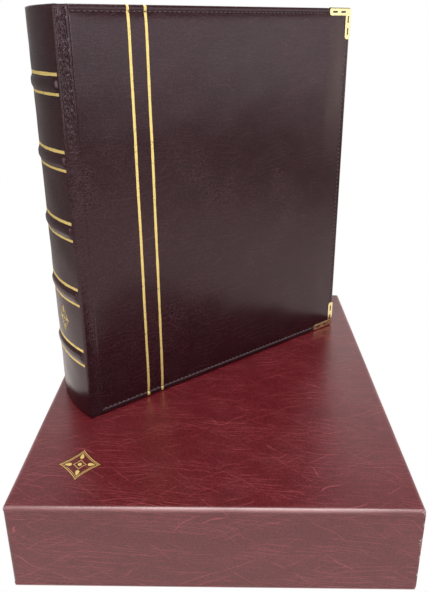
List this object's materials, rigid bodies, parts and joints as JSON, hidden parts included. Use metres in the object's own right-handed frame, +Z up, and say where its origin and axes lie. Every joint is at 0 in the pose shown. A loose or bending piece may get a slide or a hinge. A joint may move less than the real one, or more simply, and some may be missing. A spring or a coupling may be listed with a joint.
{
  "type": "stamp album",
  "caption": "Padded leatherette ring-binder stamp album with a rounded banded spine, gilt lines and metal corners, standing upright on its open-ended slipcase.",
  "frame": {"origin": "middle of the slipcase's footprint, on the surface that it lies on", "axes": "+Z up; +X out of the slipcase's open mouth; +Y along the slipcase's long side, away from the end that faces the camera"},
  "size_m": [0.29, 0.3348, 0.3994],
  "materials": {
    "case_leatherette": "glossy grained leatherette",
    "album_leatherette": "glossy crinkled leatherette",
    "board": "grey bookbinding board",
    "foam": "soft padding",
    "paper": "matt lining paper",
    "card": "black card",
    "film": "clear film",
    "foil": "gold foil",
    "gilt_metal": "polished gilt metal",
    "nickel": "nickel plated steel"
  },
  "bodies": {
    "slipcase": {"slipcase_top_board": "board", "slipcase_bottom_board": "board", "slipcase_side_board": "board", "slipcase_front_board": "board", "slipcase_back_board": "board", "slipcase_top_sheet": "case_leatherette", "slipcase_bottom_sheet": "case_leatherette", "slipcase_wall_band": "case_leatherette", "slipcase_lining": "paper"},
    "spine": {"spine_board": "board", "spine_lining": "paper", "spine_bands": "board", "spine_skin": "album_leatherette", "spine_foil_lines": "foil", "front_joint_strip": "album_leatherette", "rear_joint_strip": "album_leatherette", "ring_base_plate": "nickel", "ring_rivets": "nickel", "lever_pins": "nickel"},
    "front_cover": {"front_board": "board", "front_padding": "foam", "front_skin": "album_leatherette", "front_endpaper": "paper", "front_upper_corner": "gilt_metal", "front_lower_corner": "gilt_metal", "front_foil_lines": "foil"},
    "rear_cover": {"rear_board": "board", "rear_padding": "foam", "rear_skin": "album_leatherette", "rear_endpaper": "paper", "rear_upper_corner": "gilt_metal", "rear_lower_corner": "gilt_metal"},
    "front_rings": {"front_hinge_plate": "nickel", "front_half_rings": "nickel"},
    "rear_rings": {"rear_hinge_plate": "nickel", "rear_half_rings": "nickel"},
    "upper_lever": {"upper_lever": "nickel"},
    "lower_lever": {"lower_lever": "nickel"},
    "front_leaf_1": {"front_leaf_1": "card", "front_leaf_1_strips": "film"},
    "front_leaf_2": {"front_leaf_2": "card", "front_leaf_2_strips": "film"},
    "front_leaf_3": {"front_leaf_3": "card", "front_leaf_3_strips": "film"},
    "front_leaf_4": {"front_leaf_4": "card", "front_leaf_4_strips": "film"},
    "rear_leaf_1": {"rear_leaf_1": "card", "rear_leaf_1_strips": "film"},
    "rear_leaf_2": {"rear_leaf_2": "card", "rear_leaf_2_strips": "film"},
    "rear_leaf_3": {"rear_leaf_3": "card", "rear_leaf_3_strips": "film"},
    "rear_leaf_4": {"rear_leaf_4": "card", "rear_leaf_4_strips": "film"}
  },
  "joints": [
    {"name": "album_lift", "type": "slide", "parent": "slipcase", "child": "spine", "axis": [0, 0, 1], "range_m": [0, 0.12]},
    {"name": "front_cover_hinge", "type": "hinge", "parent": "spine", "child": "front_cover", "pos_m": [-0.10002, -0.06959, 0.2363], "axis": [0, 0, -1], "range_deg": [0, 170]},
    {"name": "rear_cover_hinge", "type": "hinge", "parent": "spine", "child": "rear_cover", "pos_m": [-0.13516, -0.02096, 0.2363], "axis": [0, 0, 1], "range_deg": [0, 170]},
    {"name": "front_ring_swing", "type": "hinge", "parent": "spine", "child": "front_rings", "pos_m": [-0.11412, -0.05449, 0.2363], "axis": [0, 0, -1], "range_deg": [0, 10]},
    {"name": "rear_ring_swing", "type": "hinge", "parent": "spine", "child": "rear_rings", "pos_m": [-0.12525, -0.03909, 0.2363], "axis": [0, 0, 1], "range_deg": [0, 10]},
    {"name": "upper_lever_pivot", "type": "hinge", "parent": "spine", "child": "upper_lever", "pos_m": [-0.11953, -0.04667, 0.3763], "axis": [0.5857, -0.8106, 0], "range_deg": [0, 20]},
    {"name": "lower_lever_pivot", "type": "hinge", "parent": "spine", "child": "lower_lever", "pos_m": [-0.11953, -0.04667, 0.0963], "axis": [-0.5857, 0.8106, 0], "range_deg": [0, 20]},
    {"name": "front_leaf_1_turn", "type": "hinge", "parent": "spine", "child": "front_leaf_1", "pos_m": [-0.10127, -0.03348, 0.2363], "axis": [0, 0, -1], "range_deg": [0, 85]},
    {"name": "front_leaf_2_turn", "type": "hinge", "parent": "spine", "child": "front_leaf_2", "pos_m": [-0.10127, -0.03348, 0.2363], "axis": [0, 0, -1], "range_deg": [0, 73.1]},
    {"name": "front_leaf_3_turn", "type": "hinge", "parent": "spine", "child": "front_leaf_3", "pos_m": [-0.10127, -0.03348, 0.2363], "axis": [0, 0, -1], "range_deg": [0, 61.2]},
    {"name": "front_leaf_4_turn", "type": "hinge", "parent": "spine", "child": "front_leaf_4", "pos_m": [-0.10127, -0.03348, 0.2363], "axis": [0, 0, -1], "range_deg": [0, 49.3]},
    {"name": "rear_leaf_1_turn", "type": "hinge", "parent": "spine", "child": "rear_leaf_1", "pos_m": [-0.10127, -0.03348, 0.2363], "axis": [0, 0, 1], "range_deg": [0, 85]},
    {"name": "rear_leaf_2_turn", "type": "hinge", "parent": "spine", "child": "rear_leaf_2", "pos_m": [-0.10127, -0.03348, 0.2363], "axis": [0, 0, 1], "range_deg": [0, 73.1]},
    {"name": "rear_leaf_3_turn", "type": "hinge", "parent": "spine", "child": "rear_leaf_3", "pos_m": [-0.10127, -0.03348, 0.2363], "axis": [0, 0, 1], "range_deg": [0, 61.2]},
    {"name": "rear_leaf_4_turn", "type": "hinge", "parent": "spine", "child": "rear_leaf_4", "pos_m": [-0.10127, -0.03348, 0.2363], "axis": [0, 0, 1], "range_deg": [0, 49.3]}
  ],
  "couplings": [
    {"joint": "rear_ring_swing", "follows": "front_ring_swing", "ratio": 1},
    {"joint": "upper_lever_pivot", "follows": "front_ring_swing", "ratio": 2},
    {"joint": "lower_lever_pivot", "follows": "front_ring_swing", "ratio": 2},
    {"joint": "front_leaf_1_turn", "follows": "front_cover_hinge", "ratio": 0.5},
    {"joint": "front_leaf_2_turn", "follows": "front_cover_hinge", "ratio": 0.43},
    {"joint": "front_leaf_3_turn", "follows": "front_cover_hinge", "ratio": 0.36},
    {"joint": "front_leaf_4_turn", "follows": "front_cover_hinge", "ratio": 0.29},
    {"joint": "rear_leaf_1_turn", "follows": "rear_cover_hinge", "ratio": 0.5},
    {"joint": "rear_leaf_2_turn", "follows": "rear_cover_hinge", "ratio": 0.43},
    {"joint": "rear_leaf_3_turn", "follows": "rear_cover_hinge", "ratio": 0.36},
    {"joint": "rear_leaf_4_turn", "follows": "rear_cover_hinge", "ratio": 0.29}
  ]
}
